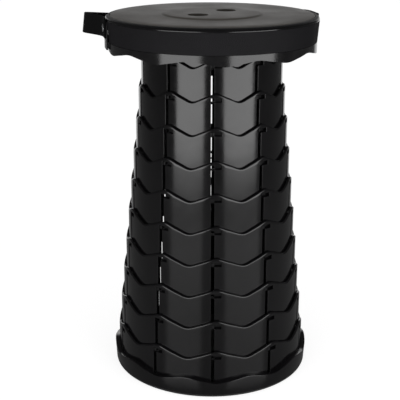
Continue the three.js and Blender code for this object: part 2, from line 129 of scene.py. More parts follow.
# Base
BASE_RADIUS = 124.6
BASE_FOOT_RADIUS = 123.4
RIM_HEIGHT = 25.3
RIM_WAVE = 6.4
RIM_BEVEL = 1.0
RIM_INNER = 119.36
LEDGE_INNER = 107.36
LEDGE_TOP = 7.6
POCKET_PLAY = 0.35
PLATE_LOW = 0.6
PLATE_TOP = 3.1
PLATE_CORNER = 1.2
PANEL_INNER = 26.0
PANEL_OUTER = 90.6
PANEL_DEPTH = 1.1
PLATE_RIB = 5.0
FOOT_RADIUS = 8.0
CENTRE_FOOT_RADIUS = 16.0
FOOT_CIRCLE = 106.6
FOOT_TOP = 1.9
FOOT_POCKET_TOP = 2.2
BASE_SCREW_CIRCLE = 113.36
BASE_SCREW_HEAD_PLANE = 1.7
BASE_SCREW_LENGTH = 5.0
SCREW_RECESS = 1.4

# Strap
STRAP_TURN = math.radians(11.8)
PIVOT = 430.5
STRAP_WIDTH = 24.0
STRAP_THICKNESS = 1.6
STRAP_RADIUS = 134.0
STRAP_PLANE = 128.9
STRAP_END = 9.0
STRAP_SAG = 9.0
BULGE_REACH = 24.0
BULGE_CENTRE = math.radians(158.7)
BULGE_HALF = math.radians(17)
STRAP_BLEND = 1.0
SLACK_LEAN = 0.125  # the slack's lean inwards for each mm of height
SLACK_INSET = 0.5
SLACK_LIFT = 2.4
CLIP_INNER = 126.0
CLIP_OUTER = 127.8
CLIP_WIDTH = 22.0
CLIP_LOW = 405.5
CLIP_HIGH = 438.0
CLIP_FEET = (415.9, 419.5)
CLIP_FOOT_INNER = 119.4
CLIP_FOOT_WIDTH = 10.0
CLIP_FOOT_HEIGHT = 2.2
CLIP_WAY_DEPTH = 2.7
RIVET_HEAD = 4.6
RIVET_SHANK = 2.0
RIVET_TAIL = 3.5
RIVET_TAIL_PLANE = 121.6
SLIDER_ANGLE = math.radians(74)
SLIDER_WALL = 1.6
SLIDER_LENGTH = 12.0

FINE = 360  # columns of a piece that is turned round the axis

# Strength of the room's light on the stool, and of the dark room that its gloss mirrors
ROOM_LIGHT = 0.4
OVERHEAD_LIGHT = 1.0
ROOM_SHADE = 0.056

# Upright lamps, in metres, with their azimuth and width, and the radiance of panel and foot
LAMPS = (("left", -32.5, 0.65), ("right", 41.2, 0.75))
LAMP_DISTANCE = 0.85
LAMP_LOW = 0.07
LAMP_HIGH = 0.5
LAMP_RADIANCE = 3.52
LAMP_FOOT_RADIANCE = 1.28

# What the camera sees of the floor: its own glow, and how much light it throws back
FLOOR_GLOW = 0.76
FLOOR_PALE = 0.3125
FLOOR_SIZE = 6000.0

# Camera: turn about the axis, then pitch, yaw and roll in degrees, place in mm, focal length in pixels
CAMERA_TURN = -0.4
CAMERA_ANGLES = (18.172, -0.6276, 0.1443)
CAMERA_PLACE = (-1.5667, -1131.7641, 582.2838)
FOCAL_PIXELS = 942.0
PHOTO_PIXELS = 400


# Nodes of materials


class Nodes:
    """A short way to build a node material."""

    def __init__(self, name, kept_in=None, output="Material"):
        self.material = (bpy.data.materials if kept_in is None else kept_in).new(name)
        self.material.use_nodes = True
        self.tree = self.material.node_tree
        self.tree.nodes.clear()
        self.output = self.tree.nodes.new("ShaderNodeOutput" + output)

    def add(self, kind, values=None, **settings):
        node = self.tree.nodes.new("ShaderNode" + kind)
        for key, value in settings.items():
            setattr(node, key, value)
        for socket, value in (values or {}).items():
            self.feed(node.inputs[socket], value)
        return node

    def feed(self, socket, value):
        if isinstance(value, bpy.types.NodeSocket):
            self.tree.links.new(value, socket)
        else:
            socket.default_value = value

    def ramp(self, value, stops):
        node = self.add("ValToRGB", {"Fac": value})
        elements = node.color_ramp.elements
        while len(elements) < len(stops):
            elements.new(0.5)
        for element, (place, colour) in zip(elements, stops):
            element.position = place
            element.color = (*colour, 1)
        return node.outputs["Color"]

    def spread(self, value, low, high, to_low, to_high):
        node = self.add("MapRange", {
            "Value": value, "From Min": low, "From Max": high, "To Min": to_low, "To Max": to_high,
        })
        return node.outputs["Result"]

    def math(self, operation, a, b=0.0):
        return self.add("Math", {0: a, 1: b}, operation=operation).outputs[0]

    def noise(self, vector, scale, detail=2.0, rough=0.5):
        node = self.add("TexNoise", {
            "Vector": vector, "Scale": scale, "Detail": detail, "Roughness": rough,
        })
        return node.outputs["Fac"]

    def bump(self, height, distance, strength=1.0, normal=None):
        values = {"Height": height, "Distance": distance, "Strength": strength}
        if normal is not None:
            values["Normal"] = normal
        return self.add("Bump", values).outputs["Normal"]

    def finish(self, shader):
        self.tree.links.new(shader, self.output.inputs["Surface"])
        return self.material


def plastic(name, dark, light, rough_low, rough_high, grain, grain_depth, specular=0.625, wear=0.0,
            satin_above=None):
    """Moulded plastic: two near tones, uneven gloss, a fine grain and lighter, duller rubbed edges.

    Above the height satin_above, in mm, it goes from gloss to satin."""
    n = Nodes(name)
    place = n.add("TexCoord").outputs["Object"]
    tone = n.noise(place, 22.0, 4.0)
    colour = n.ramp(tone, [(0.3, dark), (0.7, light)])
    gloss = n.noise(place, 60.0, 5.0, 0.6)
    rough = n.spread(gloss, 0.3, 0.7, rough_low, rough_high)
    if satin_above is not None:
        height = n.add("SeparateXYZ", {"Vector": place}).outputs["Z"]
        satin = n.spread(height, satin_above * MM, (satin_above + 1.2) * MM, 0.0, 1.0)
        rough = n.math("ADD", rough, n.math("MULTIPLY", satin, 0.42))
    if wear > 0:
        sharp = n.add("NewGeometry").outputs["Pointiness"]
        rubbed = n.spread(sharp, 0.515, 0.56, 0.0, wear)
        patchy = n.math("MULTIPLY", rubbed, n.spread(n.noise(place, 90.0, 3.0), 0.35, 0.65, 0.3, 1.0))
        mix = n.add("Mix", {"Factor": patchy, "A": colour, "B": (0.112, 0.112, 0.115, 1)}, data_type="RGBA")
        colour = mix.outputs["Result"]
    fine = n.noise(place, grain, 3.0, 0.55)
    skin = n.bump(fine, grain_depth)
    swell = n.bump(n.noise(place, 35.0, 1.0), 0.00012, normal=skin)
    shader = n.add("BsdfPrincipled", {
        "Base Color": colour, "Roughness": rough, "Normal": swell, "Specular IOR Level": specular,
    })
    return n.finish(shader.outputs["BSDF"])


def leather_grain(name, dark, light, rough, cell, depth, specular):
    """Plastic with a pebbled skin, as on a seat top or a textured band."""
    n = Nodes(name)
    place = n.add("TexCoord").outputs["Object"]
    pebble = n.add("TexVoronoi", {"Vector": place, "Scale": cell, "Randomness": 0.9},
                   feature="SMOOTH_F1")
    pebble.inputs["Smoothness"].default_value = 0.6
    height = pebble.outputs["Distance"]
    broad = n.noise(place, 9.0, 3.0)
    colour = n.ramp(broad, [(0.35, dark), (0.65, light)])
    worn = n.spread(n.noise(place, 14.0, 4.0, 0.6), 0.35, 0.7, rough - 0.05, rough + 0.07)
    skin = n.bump(n.math("SUBTRACT", 1.0, height), depth)
    dust = n.bump(n.noise(place, cell * 3.5, 2.0), depth * 0.25, normal=skin)
    shader = n.add("BsdfPrincipled", {
        "Base Color": colour, "Roughness": worn, "Normal": dust, "Specular IOR Level": specular,
    })
    return n.finish(shader.outputs["BSDF"])


def woven(name):
    """Webbing: diagonal ribs of yarn across the strap."""
    n = Nodes(name)
    uv = n.add("UVMap").outputs["UV"]
    parts = n.add("SeparateXYZ", {"Vector": uv})
    along, across = parts.outputs["X"], parts.outputs["Y"]
    twill = n.math("ADD", n.math("MULTIPLY", along, 560.0), n.math("MULTIPLY", across, 280.0))
    ribs = n.math("SINE", n.math("MULTIPLY", twill, 2 * math.pi))
    weft = n.math("SINE", n.math("MULTIPLY", across, 2 * math.pi * 420.0))
    yarn = n.math("ADD", n.math("MULTIPLY", ribs, 0.6), n.math("MULTIPLY", weft, 0.4))
    level = n.spread(yarn, -1.0, 1.0, 0.0, 1.0)
    fuzz = n.noise(n.add("TexCoord").outputs["Object"], 900.0, 3.0)
    # Painted shade: the colour ramp follows the weave's relief, darker in its grooves and lighter on its
    # ribs, and the fuzz adds a random tone
    relief_and_groove_shade = n.math("ADD", n.math("MULTIPLY", level, 0.75), n.math("MULTIPLY", fuzz, 0.25))
    colour = n.ramp(relief_and_groove_shade, [(0.0, (0.0019, 0.0019, 0.0020)), (1.0, (0.0060, 0.0060, 0.0062))])
    normal = n.bump(relief_and_groove_shade, 0.0003)
    shader = n.add("BsdfPrincipled", {
        "Base Color": colour, "Roughness": 0.82, "Normal": normal,
        "Sheen Weight": 0.0125, "Specular IOR Level": 0.1,
    })
    return n.finish(shader.outputs["BSDF"])


def brushed_steel(name):
    n = Nodes(name)
    place = n.add("TexCoord").outputs["Object"]
    tone = n.noise(place, 120.0, 4.0)
    colour = n.ramp(tone, [(0.3, (0.525, 0.525, 0.537)), (0.7, (0.7, 0.7, 0.712))])
    rough = n.spread(n.noise(place, 700.0, 2.0), 0.3, 0.7, 0.26, 0.4)
    shader = n.add("BsdfPrincipled", {
        "Base Color": colour, "Roughness": rough, "Metallic": 1.0,
        "Normal": n.bump(n.noise(place, 1500.0, 2.0), 0.00003),
    })
    return n.finish(shader.outputs["BSDF"])


GLOSS = plastic("gloss_black", (0.0020, 0.0019, 0.0021), (0.0035, 0.0032, 0.0037),
                0.12, 0.18, 1400.0, 0.000012, 0.525, wear=0.04)
CLIP_LOOK = plastic("clip_black", (0.0045, 0.0042, 0.0047), (0.0067, 0.0065, 0.0072),
                    0.36, 0.44, 1400.0, 0.00002, 0.2, wear=0.03)
SHELL_LOOK = plastic("shell_black", (0.0020, 0.0019, 0.0021), (0.0035, 0.0032, 0.0037),
                     0.12, 0.18, 1400.0, 0.000012, 0.525, wear=0.04, satin_above=SHELL_TOP - 1.8)
PLATE_LOOK = plastic("plate_black", (0.0125, 0.0125, 0.0125), (0.0200, 0.0200, 0.0200),
                     0.55, 0.66, 1100.0, 0.00004)
BAND_LOOK = leather_grain("band_black", (0.0097, 0.0094, 0.0104), (0.0135, 0.0130, 0.0143),
                          0.62, 950.0, 0.00022, 0.075)
COVER_LOOK = leather_grain("seat_top", (0.0550, 0.0506, 0.0450), (0.0675, 0.0621, 0.0553),
                           0.46, 620.0, 0.00010, 0.112)
WEBBING_LOOK = woven("webbing")
RUBBER_LOOK = plastic("rubber", (0.0112, 0.0112, 0.0112), (0.0175, 0.0175, 0.0175),
                      0.75, 0.88, 1600.0, 0.00005, 0.375)
STEEL_LOOK = brushed_steel("steel")


# Meshes


def wave_level(azimuth):
    """The wave of an edge, from 1 on its crests to -1 in its dips, both a little sharper than a sine's."""
    c = math.cos(WAVES * azimuth)
    return c * (0.7 + 0.3 * c * c)


def polar(radius, azimuth, height):
    return (radius * math.sin(azimuth), -radius * math.cos(azimuth), height)


def piece(name, vertices, faces, look, smooth=True):
    mesh = bpy.data.meshes.new(name)
    mesh.from_pydata([(x * MM, y * MM, z * MM) for x, y, z in vertices], [], faces)
    mesh.validate()
    bm = bmesh.new()
    bm.from_mesh(mesh)
    bmesh.ops.recalc_face_normals(bm, faces=bm.faces)
    bm.to_mesh(mesh)
    bm.free()
    if smooth:
        mesh.shade_smooth()
    mesh.materials.append(look)
    thing = bpy.data.objects.new(name, mesh)
    bpy.context.scene.collection.objects.link(thing)
    return thing


def settle(thing):
    """Applies the modifiers."""
    graph = bpy.context.evaluated_depsgraph_get()
    made = bpy.data.meshes.new_from_object(thing.evaluated_get(graph))
    old = thing.data
    thing.modifiers.clear()
    thing.data = made
    bpy.data.meshes.remove(old)
    return thing


def combine(thing, others, operation):
    """Cuts the other pieces out of thing, or joins them to it."""
    for other in others:
        modifier = thing.modifiers.new("combine", "BOOLEAN")
        modifier.operation = operation
        modifier.solver = "EXACT"
        modifier.object = other
    settle(thing)
    for other in others:
        data = other.data
        bpy.data.objects.remove(other)
        bpy.data.meshes.remove(data)
    return thing


def round_edges(thing, width, segments=2, angle=38):
    modifier = thing.modifiers.new("edges", "BEVEL")
    modifier.width = width * MM
    modifier.segments = segments
    modifier.limit_method = "ANGLE"
    modifier.angle_limit = math.radians(angle)
    modifier.use_clamp_overlap = True
    modifier.harden_normals = True
    settle(thing)
    return thing


def fit(thing, body, nodes):
    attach(thing, body)
    if nodes:
        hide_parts(*nodes)
    return thing


def turned(name, profile, look, columns=FINE, shift=None):
    """A closed or axis-to-axis profile of (radius, height) or (radius, height, share), turned.
    The share says how much of shift(azimuth) a point takes."""
    profile = [(*p, 0.0)[:3] for p in profile]
    axial = profile[0][0] == 0
    vertices, index = [], {}
    for c in range(columns):
        azimuth = 2 * math.pi * c / columns
        for k, (radius, height, share) in enumerate(profile):
            if radius == 0 and c > 0:
                index[c, k] = index[0, k]
                continue
            lift = share * shift(azimuth) if shift and share else 0.0
            index[c, k] = len(vertices)
            vertices.append(polar(radius, azimuth, height + lift))
    faces = []
    last = len(profile) - (1 if axial else 0)
    for c in range(columns):
        d = (c + 1) % columns
        for k in range(last):
            m = (k + 1) % len(profile)
            ring = [index[c, k], index[d, k], index[d, m], index[c, m]]
            face = list(dict.fromkeys(ring))
            if len(face) > 2:
                faces.append(face)
    return piece(name, vertices, faces, look)


def walled(name, outer, inner, present, look, wrap=True):
    """A wall between two grids of points, with the absent cells left open."""
    columns, rows = len(outer), len(outer[0])
    used, vertices, faces = {}, [], []

    def vertex(side, c, r):
        key = (side, c % columns if wrap else c, r)
        if key not in used:
            used[key] = len(vertices)
            vertices.append((outer if side else inner)[key[1]][r])
        return used[key]

    cells = columns if wrap else columns - 1

    def there(c, r):
        if wrap:
            c %= cells
        return 0 <= c < cells and 0 <= r < rows - 1 and present(c, r)

    for c in range(cells):
        for r in range(rows - 1):
            if not there(c, r):
                continue
            d = c + 1
            faces.append([vertex(1, *p) for p in ((c, r), (d, r), (d, r + 1), (c, r + 1))])
            faces.append([vertex(0, *p) for p in ((c, r + 1), (d, r + 1), (d, r), (c, r))])
            sides = [
                (there(c - 1, r), (c, r), (c, r + 1)),
                (there(c + 1, r), (d, r + 1), (d, r)),
                (there(c, r - 1), (d, r), (c, r)),
                (there(c, r + 1), (c, r + 1), (d, r + 1)),
            ]
            for covered, a, b in sides:
                if not covered:
                    faces.append([vertex(1, *a), vertex(1, *b), vertex(0, *b), vertex(0, *a)])
    return piece(name, vertices, faces, look)


def box_mesh(name, low, high, look, place=None):
    xs, ys, zs = zip(low, high)
    corners = [(x, y, z) for x in xs for y in ys for z in zs]
    faces = [(0, 1, 3, 2), (4, 6, 7, 5), (0, 4, 5, 1), (2, 3, 7, 6), (0, 2, 6, 4), (1, 5, 7, 3)]
    thing = piece(name, corners, faces, look, smooth=False)
    if place is not None:
        thing.data.transform(place)
    return thing


def turn_about_z(angle):
    return Matrix.Rotation(angle, 4, "Z")


def post(name, radius, low, high, look, x=0.0, y=0.0, columns=48):
    thing = turned(name, [(0, low), (radius, low), (radius, high), (0, high)], look, columns)
    thing.data.transform(Matrix.Translation((x * MM, y * MM, 0)))
    return thing


def join(name, things):
    """Several closed shells that sink into each other, as one piece."""
    first = things[0]
    bm = bmesh.new()
    for thing in things:
        bm.from_mesh(thing.data)
    mesh = bpy.data.meshes.new(name)
    bm.to_mesh(mesh)
    bm.free()
    mesh.materials.append(first.data.materials[0])
    for thing in things:
        data = thing.data
        bpy.data.objects.remove(thing)
        bpy.data.meshes.remove(data)
    made = bpy.data.objects.new(name, mesh)
    bpy.context.scene.collection.objects.link(made)
    return made


# Rings


def ring_radius(index):
    return TOP_RING_RADIUS + (index - 1) * RING_STEP


def ring_bottom(index):
    return RING_FLOOR + (RINGS - index) * RING_RISE


def eased(share):
    share = min(max(share, 0.0), 1.0)
    return share * share * (3 - 2 * share)


def turn_of_ring(index):
    """How far a ring stands turned, a little more from each to the next; the neck counts as ring 0."""
    return FIRST_TURN + (index - 1) * RING_TURN


def tab_piece(name, outer, bottom, azimuth):
    tab = box_mesh(
        name,
        (-TAB_WIDTH / 2, -(outer + TAB_REACH), bottom + TAB_FOOT),
        (TAB_WIDTH / 2, -(outer - EMBED), bottom + TAB_FOOT + TAB_HEIGHT),
        GLOSS, turn_about_z(azimuth),
    )
    return round_edges(tab, 0.35)


def ring_columns(outer):
    """Angles from a rib's middle to its columns of the ring, to the slot's edge and to the notch's end."""
    half = math.asin(SLOT_WIDTH / 2 / outer)
    hook = math.asin((SLOT_WIDTH / 2 + HOOK_REACH) / outer)
    left = list(np.linspace(-RIB / 2, -half, 13))
    notch = list(np.linspace(half, hook, 5))
    right = list(np.linspace(hook, RIB / 2, 10))[1:-1]
    return left + notch + right, half, hook


def ring_piece(index):
    outer, bottom, turn = ring_radius(index), ring_bottom(index), turn_of_ring(index)
    slot_top = RING_HEIGHT - SLOT_BAND
    rows = [0, SLOT_FOOT, SHORT_SLOT_FOOT, 19.0, 30.0, slot_top - HOOK_HEIGHT, slot_top]
    brow = [(1.5, 0.0), (0.9, 0.12), (0.35, 0.45), (0.0, 1.0)]  # below the wave, and in from the outside
    straight = 30.0  # rows above this height follow the wave away from the slots
    angles, half, hook = ring_columns(outer)
    per_rib = len(angles)
    notch_row = len(rows) - 2
    outside, inside, open_cells = [], [], set()
    for rib in range(WAVES):
        low_row = 2 if (rib - index) % 2 == 0 else 1
        for step, angle in enumerate(angles):
            azimuth = rib * RIB + angle + turn
            top = RING_HEIGHT - CREST_DROP - WAVE_HEIGHT / 2 * (1 - wave_level(angle - WAVE_TURN))
            clear = hook if angle > 0 else half
            follow = eased((abs(angle) - clear - math.radians(0.4)) / math.radians(2.2))
            heights = []
            for height in rows:
                moved = straight + (height - straight) * (top - straight) / (RING_HEIGHT - straight)
                heights.append(height if height <= straight else height + follow * (moved - height))
            inset = [0.0] * len(rows) + [inward for _, inward in brow]
            heights += [top - under for under, _ in brow]
            outside.append([polar(outer - i, azimuth, bottom + h) for h, i in zip(heights, inset)])
            inside.append([polar(outer - RING_WALL, azimuth, bottom + h) for h in heights])
            column = rib * per_rib + step
            if -half - 1e-6 < angle < half - 1e-6:
                open_cells.update((column, row) for row in range(low_row, notch_row + 1))
            if half - 1e-6 < angle < hook - 1e-6:
                open_cells.add((column, notch_row))
    name = f"ring_{index:02d}_shown"
    wall = walled(name + "_wall", outside, inside, lambda c, r: (c, r) not in open_cells, GLOSS)
    round_edges(wall, 0.55)
    tabs = [tab_piece(f"tab_{rib}", outer, bottom, rib * RIB + turn) for rib in range(index % 2, WAVES, 2)]
    return join(name, [wall, *tabs])


for index in range(1, RINGS + 1):
    body = "base" if index == RINGS else f"ring_{index:02d}_body"
    fit(ring_piece(index), body, [f"ring_{index:02d}"])


# Screws and rivets


def screw_piece(name, circle, azimuth, head_plane, length):
    """A pan head with a cross recess, seen from below, on its shank."""
    head, shank = SCREW_HEAD, SCREW_SHANK
    profile = [
        (0, head_plane - 1.25), (head * 0.5, head_plane - 1.18), (head * 0.82, head_plane - 0.95),
        (head, head_plane - 0.5), (head, head_plane), (shank, head_plane),
        (shank, head_plane + length - 1.2), (0, head_plane + length),
    ]
    screw = turned(name, profile, STEEL_LOOK, 32)
    arms = [
        box_mesh("arm", (-1.5, -0.28, head_plane - 2), (1.5, 0.28, head_plane - 0.45), STEEL_LOOK,
                 turn_about_z(math.radians(turn)))
        for turn in (20, 110)
    ]
    combine(screw, arms, "DIFFERENCE")
    screw.data.transform(turn_about_z(azimuth) @ Matrix.Translation((0, -circle * MM, 0)))
    return screw


# Seat


def along_strap(side):
    return turn_about_z(STRAP_TURN + (0 if side > 0 else math.pi))


def quarter(outer, low, reach, height, steps, share=False):
    points = []
    for step in range(steps + 1):
        angle = step / steps * math.pi / 2
        z = low + height * math.sin(angle)
        part = (z - low) / height if share else 0.0
        points.append((outer - reach * (1 - math.cos(angle)), z, part))
    return points


def finger_posts(radius, low, high):
    return [
        post("finger", radius, low, high, GLOSS,
             side * FINGER_OFFSET * math.cos(FINGER_ANGLE), side * FINGER_OFFSET * math.sin(FINGER_ANGLE))
        for side in (-1, 1)
    ]


def foot_cutters(side):
    inner = BAND_RADIUS_LOW - BAND_THICKNESS - GAP - SKIRT_WALL - CLIP_WAY_DEPTH
    half = CLIP_FOOT_WIDTH / 2 + GAP
    return [
        box_mesh("foot_way", (inner, -half, low - GAP),
                 (SEAT_RADIUS + OVERRUN, half, low + CLIP_FOOT_HEIGHT + GAP), GLOSS, along_strap(side))
        for low in CLIP_FEET
    ]


def seat_shell_piece():
    groove_top = SEAT_RADIUS - BAND_THICKNESS - GAP
    groove_low = BAND_RADIUS_LOW - BAND_THICKNESS - GAP
    lip = BAND_RADIUS_LOW

    def lift(azimuth):
        return LIP_WAVE / 2 * (1 - wave_level(azimuth - SEAT_TURN))

    profile = [
        (0, CEILING), (40, CEILING), (90, CEILING), (groove_top - SKIRT_WALL, CEILING),
        (lip - LIP_WALL, BAND_LOW, 0), (lip - LIP_WALL, LIP_LOW, 1), (lip, LIP_LOW, 1),
        (lip, BAND_LOW - GAP, 0), (groove_low, BAND_LOW - GAP), (groove_top, BAND_HIGH + GAP),
        (SEAT_RADIUS, BAND_HIGH + GAP),
        *quarter(SEAT_RADIUS, SHELL_TOP - BEVEL_HEIGHT, BEVEL_REACH, BEVEL_HEIGHT, 8),
        (COVER_RADIUS + GAP, WEB_TOP), (90, WEB_TOP), (40, WEB_TOP), (0, WEB_TOP),
    ]
    shell = turned("seat_shell_shown", profile, GLOSS, shift=lift)
    collars = finger_posts(FINGER_RADIUS + COLLAR_WALL, CEILING - COLLAR_DROP, CEILING + EMBED)
    bosses = []
    for rib in range(1, WAVES, 2):
        boss = post("boss", BOSS_RADIUS, CEILING - BOSS_DROP, CEILING + EMBED, GLOSS,
                    0, -NECK_SCREW_CIRCLE, 24)
        boss.data.transform(turn_about_z(rib * RIB))
        bosses.append(boss)
    combine(shell, collars + bosses, "UNION")
    cutters = finger_posts(FINGER_RADIUS, CEILING - COLLAR_DROP - OVERRUN, WEB_TOP + OVERRUN)
    cutters += foot_cutters(-1) + foot_cutters(1)
    combine(shell, cutters, "DIFFERENCE")
    shell.data.materials.clear()
    shell.data.materials.append(SHELL_LOOK)
    return round_edges(shell, 0.5)


def seat_cover_piece():
    slope = PLATEAU_RADIUS + PLATEAU_SLOPE
    rise = PLATEAU_TOP - COVER_TOP
    step = [(slope + (PLATEAU_RADIUS - slope) * t, COVER_TOP + rise * eased(t))
            for t in (0, 0.2, 0.4, 0.6, 0.8, 1)]
    profile = [
        (0, COVER_BOTTOM), (60, COVER_BOTTOM), (COVER_RADIUS, COVER_BOTTOM),
        (COVER_RADIUS, COVER_TOP - COVER_BEVEL), (COVER_RADIUS - 0.3, COVER_TOP - 0.35),
        (COVER_RADIUS - COVER_BEVEL, COVER_TOP), (105, COVER_TOP), (85, COVER_TOP),
        *step, (45, PLATEAU_TOP), (0, PLATEAU_TOP),
    ]
    cover = turned("seat_cover_shown", profile, COVER_LOOK)
    combine(cover, finger_posts(FINGER_RADIUS, COVER_BOTTOM - OVERRUN, PLATEAU_TOP + OVERRUN), "DIFFERENCE")
    return round_edges(cover, 0.7, 3)


def band_piece(name, side):
    """Half of the textured band; side -1 is the front half."""
    edge = CLIP_WIDTH / 2 + GAP
    steps = 150
    middle = STRAP_TURN if side < 0 else STRAP_TURN + math.pi
    outside, inside = [], []
    inset = math.asin(edge / BAND_RADIUS_LOW)
    for step in range(steps + 1):
        angle = -math.pi / 2 + inset + step / steps * (math.pi - 2 * inset)
        azimuth = middle + angle
        column = []
        for depth in (0.0, BAND_THICKNESS):
            rows = []
            for t in np.linspace(0, 1, 7):
                radius = BAND_RADIUS_LOW + (SEAT_RADIUS - BAND_RADIUS_LOW) * t - depth
                rows.append(polar(radius, azimuth, BAND_LOW + (BAND_HIGH - BAND_LOW) * t))
            column.append(rows)
        outside.append(column[0])
        inside.append(column[1])
    band = walled(name, outside, inside, lambda c, r: True, BAND_LOOK, wrap=False)
    return round_edges(band, 0.35)


def neck_piece():
    profile = [
        (NECK_INNER, NECK_BOTTOM), (NECK_OUTER, NECK_BOTTOM), (NECK_OUTER, NECK_TOP), (NECK_INNER, NECK_TOP),
        (NECK_INNER, FLANGE_TOP), (NECK_INNER - FLANGE_WIDTH, FLANGE_TOP),
        (NECK_INNER - FLANGE_WIDTH, FLANGE_LOW), (NECK_INNER, FLANGE_LOW),
    ]
    neck = round_edges(turned("neck", profile, GLOSS), 0.45)
    tabs = [tab_piece(f"neck_tab_{rib}", NECK_OUTER, NECK_BOTTOM, rib * RIB + turn_of_ring(0))
            for rib in range(0, WAVES, 2)]
    return join("seat_neck_shown", [neck, *tabs])


fit(seat_shell_piece(), "seat", ["seat_shell"])
fit(seat_cover_piece(), "seat", ["seat_cover"])
fit(band_piece("skirt_band_front_shown", -1), "seat", ["skirt_band_front"])
fit(band_piece("skirt_band_rear_shown", 1), "seat", ["skirt_band_rear"])
fit(neck_piece(), "seat", ["seat_neck"])
for number in range(1, 6):
    azimuth = (2 * number - 1) * RIB
    screw = screw_piece(f"neck_screw_{number}_shown", NECK_SCREW_CIRCLE, azimuth,
                        NECK_SCREW_HEAD_PLANE, NECK_SCREW_LENGTH)
    fit(screw, "seat", [f"neck_screw_{number}"])


# Clips, rivets and strap


def clip_piece(name, side):
    """A rounded plate on the skirt, with two feet that go in through it."""
    half = CLIP_WIDTH / 2
    plate = box_mesh("plate", (CLIP_INNER, -half, CLIP_LOW), (CLIP_OUTER, half, CLIP_HIGH), CLIP_LOOK)
    bm = bmesh.new()
    bm.from_mesh(plate.data)
    chosen = [e for e in bm.edges if abs(e.verts[0].co.x - e.verts[1].co.x) > 0.001]
    bmesh.ops.bevel(bm, geom=chosen, offset=2.5 * MM, segments=6, affect="EDGES", profile=0.5)
    bm.to_mesh(plate.data)
    bm.free()
    plate.data.shade_smooth()
    round_edges(plate, 0.5, 3, 50)
    feet = []
    for low in CLIP_FEET:
        foot = box_mesh("foot", (CLIP_FOOT_INNER, -CLIP_FOOT_WIDTH / 2, low),
                        (CLIP_INNER + EMBED, CLIP_FOOT_WIDTH / 2, low + CLIP_FOOT_HEIGHT), CLIP_LOOK)
        feet.append(round_edges(foot, 0.3))
    clip = join(name, [plate, *feet])
    clip.data.transform(along_strap(side))
    return clip


def rivet_piece(name, side):
    tail, head = RIVET_TAIL_PLANE, STRAP_PLANE + STRAP_THICKNESS / 2 + GAP
    dome = [(RIVET_HEAD * math.cos(a), head + 0.35 + 0.95 * math.sin(a))
            for a in np.linspace(0, math.pi / 2, 7)]
    profile = [(0, tail - 1), (RIVET_TAIL, tail - 1), (RIVET_TAIL, tail), (RIVET_SHANK, tail),
               (RIVET_SHANK, head), (RIVET_HEAD, head), *dome[:-1], (0, head + 1.3)]
    rivet = turned(name, profile, STEEL_LOOK, 40)
    lay = Matrix.Translation((0, 0, PIVOT * MM)) @ Matrix.Rotation(math.pi / 2, 4, "Y")
    rivet.data.transform(along_strap(side) @ lay)
    return round_edges(rivet, 0.2, 2, 50)


def slack_at(angle):
    offset = (angle - BULGE_CENTRE) / BULGE_HALF
    return math.cos(offset * math.pi / 2) ** 2 if abs(offset) < 1 else 0.0


def strap_path_radius(angle):
    flat = STRAP_PLANE / max(abs(math.cos(angle)), STRAP_PLANE / (2 * STRAP_RADIUS))
    nearer = -STRAP_BLEND * math.log(math.exp((STRAP_RADIUS - flat) / STRAP_BLEND) + 1)
    return STRAP_RADIUS + nearer + BULGE_REACH * slack_at(angle)


def strap_path():
    start = math.asin(STRAP_END / STRAP_PLANE)
    points = [(STRAP_PLANE, -STRAP_END), (STRAP_PLANE, -STRAP_END / 3), (STRAP_PLANE, STRAP_END / 3)]
    for angle in np.linspace(start, math.pi - start, 260):
        radius = strap_path_radius(angle)
        points.append((radius * math.cos(angle), radius * math.sin(angle)))
    points += [(-STRAP_PLANE, STRAP_END / 3), (-STRAP_PLANE, -STRAP_END / 3), (-STRAP_PLANE, -STRAP_END)]
    return points


def sag_at(y):
    behind = min(max(y - STRAP_END, 0) / STRAP_RADIUS, 1)
    return -STRAP_SAG * math.sin(behind * math.pi / 2) ** 2


def webbing_piece():
    """The strap as a band with rounded, slightly thinner edges, with its length and width as UV."""
    path = strap_path()
    half, thick = STRAP_WIDTH / 2, STRAP_THICKNESS / 2
    section = [(-half, 0.35), (-half + 0.5, 0.85), (-half + 1.6, 1.0), (-half / 2, 0.96), (0, 0.96),
               (half / 2, 0.96), (half - 1.6, 1.0), (half - 0.5, 0.85), (half, 0.35)]
    loop = [(w, s * thick) for w, s in section] + [(w, -s * thick) for w, s in reversed(section)]
    vertices, faces, lengths = [], [], [0.0]
    for i, (x, y) in enumerate(path):
        before, after = path[max(i - 1, 0)], path[min(i + 1, len(path) - 1)]
        tangent = Vector((after[0] - before[0], after[1] - before[1])).normalized()
        out = Vector((tangent.y, -tangent.x))
        if i:
            lengths.append(lengths[-1] + math.dist(path[i], path[i - 1]))
        slack = slack_at(math.atan2(y, x))
        for width, depth in loop:
            lean = depth - (SLACK_LEAN * width + SLACK_INSET) * slack
            height = PIVOT + width + sag_at(y) + SLACK_LIFT * slack
            vertices.append((x + out.x * lean, y + out.y * lean, height))
    n = len(loop)
    for i in range(len(path) - 1):
        for k in range(n):
            m = (k + 1) % n
            faces.append([i * n + k, i * n + m, (i + 1) * n + m, (i + 1) * n + k])
    faces.append(list(range(n)))
    faces.append([(len(path) - 1) * n + k for k in reversed(range(n))])
    strap = piece("strap_webbing_shown", vertices, faces, WEBBING_LOOK)
    uv = strap.data.uv_layers.new(name="UVMap")
    for loop_at in strap.data.loops:
        i, k = divmod(loop_at.vertex_index, n)
        uv.data[loop_at.index].uv = (lengths[i] * MM, loop[k][0] * MM)
    strap.data.transform(along_strap(1))
    return strap


